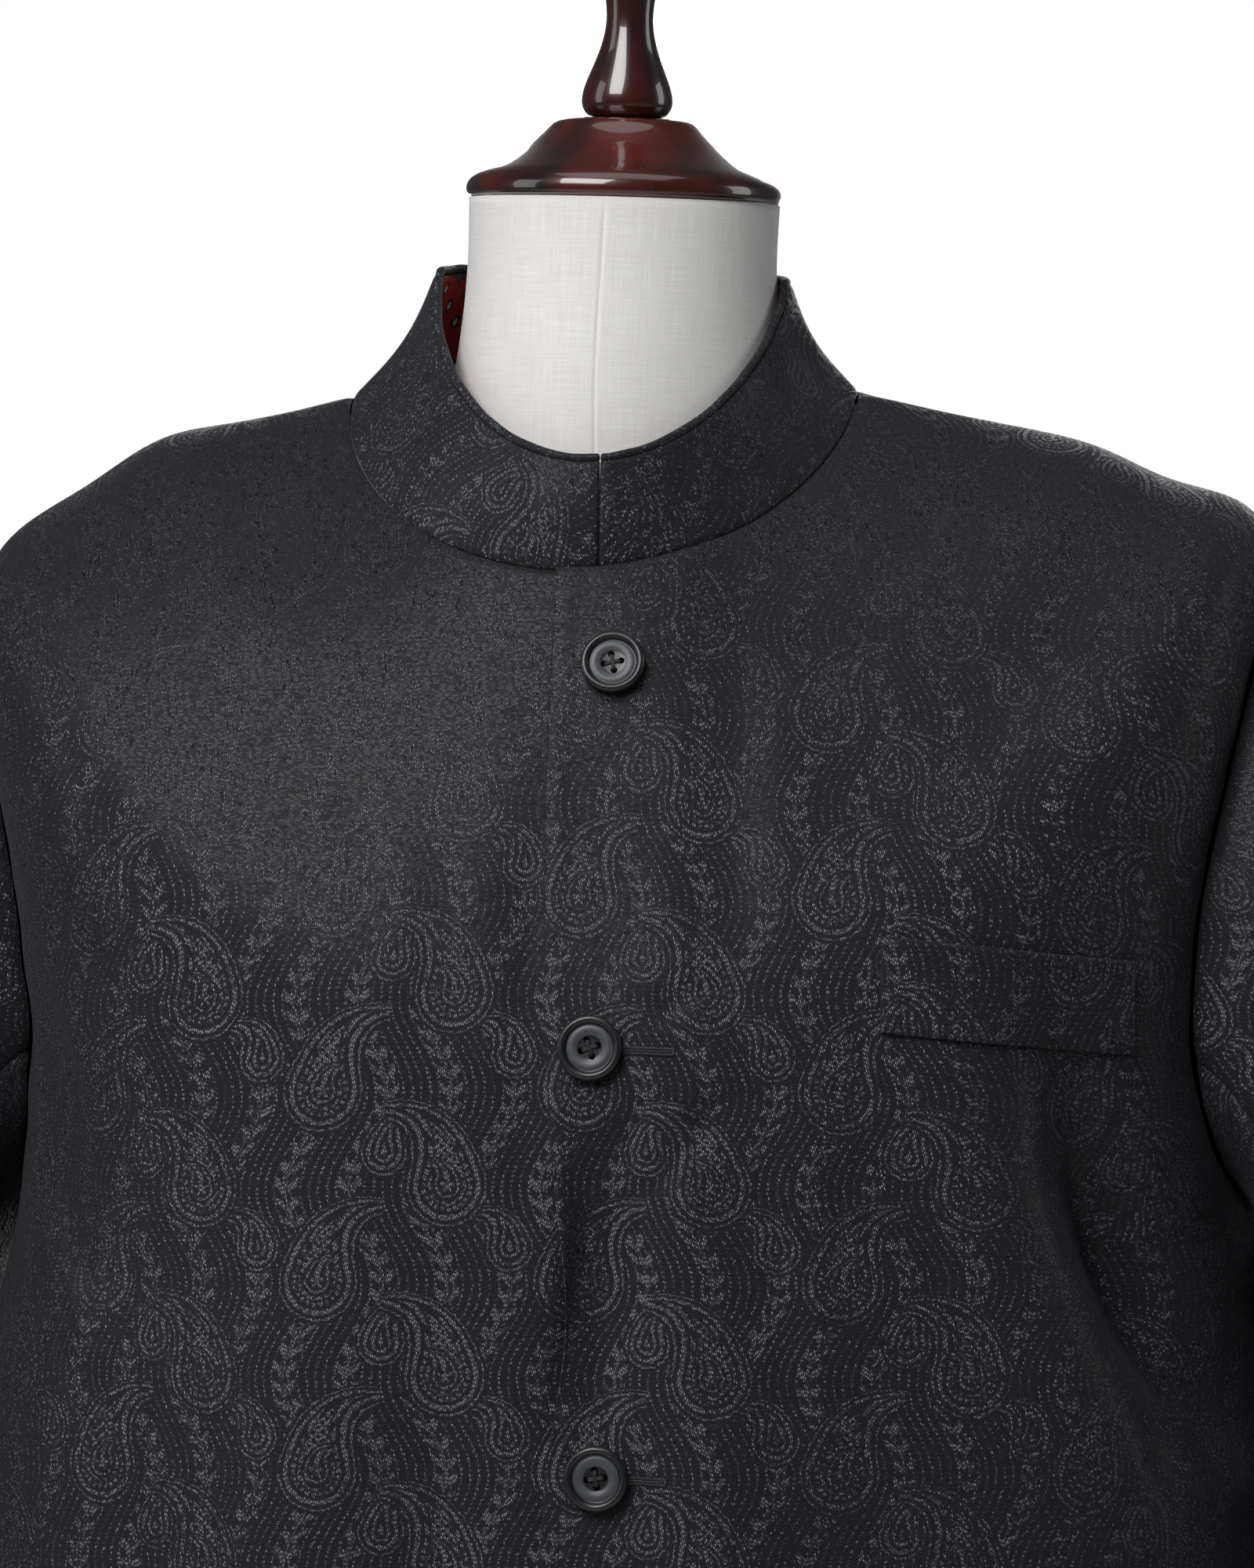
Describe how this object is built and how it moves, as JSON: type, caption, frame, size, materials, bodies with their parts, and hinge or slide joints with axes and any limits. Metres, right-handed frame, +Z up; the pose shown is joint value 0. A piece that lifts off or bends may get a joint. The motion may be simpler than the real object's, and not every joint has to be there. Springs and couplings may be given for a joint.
{
  "type": "bandhgala jacket on dress form",
  "caption": "Buttoned bandhgala jacket of dark paisley jacquard with a standing collar and chest welt, on a limbless dress form with pole and round base.",
  "frame": {"origin": "centre of the stand base's underside", "axes": "+Z up along the pole; -Y is the front of the jacket; +X is the wearer's left"},
  "size_m": [0.687, 0.39, 1.6814],
  "materials": {
    "jacket_cloth": "silky damask weave of paisley figures, tone on tone",
    "collar_lining": "printed satin lining",
    "buttons": "satin moulded",
    "form_linen": "smooth fine linen cover",
    "form_wood": "polished mahogany",
    "stand_metal": "satin enamel"
  },
  "bodies": {
    "root": {"front_left": "jacket_cloth", "front_right": "jacket_cloth", "back_left": "jacket_cloth", "back_right": "jacket_cloth", "sleeve_left_top": "jacket_cloth", "sleeve_left_under": "jacket_cloth", "sleeve_right_top": "jacket_cloth", "sleeve_right_under": "jacket_cloth", "collar_band": "jacket_cloth", "collar_facing": "collar_lining", "collar_piping": "jacket_cloth", "chest_welt": "jacket_cloth", "button_1": "buttons", "button_2": "buttons", "button_3": "buttons", "button_4": "buttons", "dress_form": "form_linen", "neck_cap": "form_wood", "finial": "form_wood", "stand_pole": "stand_metal", "stand_base": "stand_metal"}
  },
  "joints": []
}
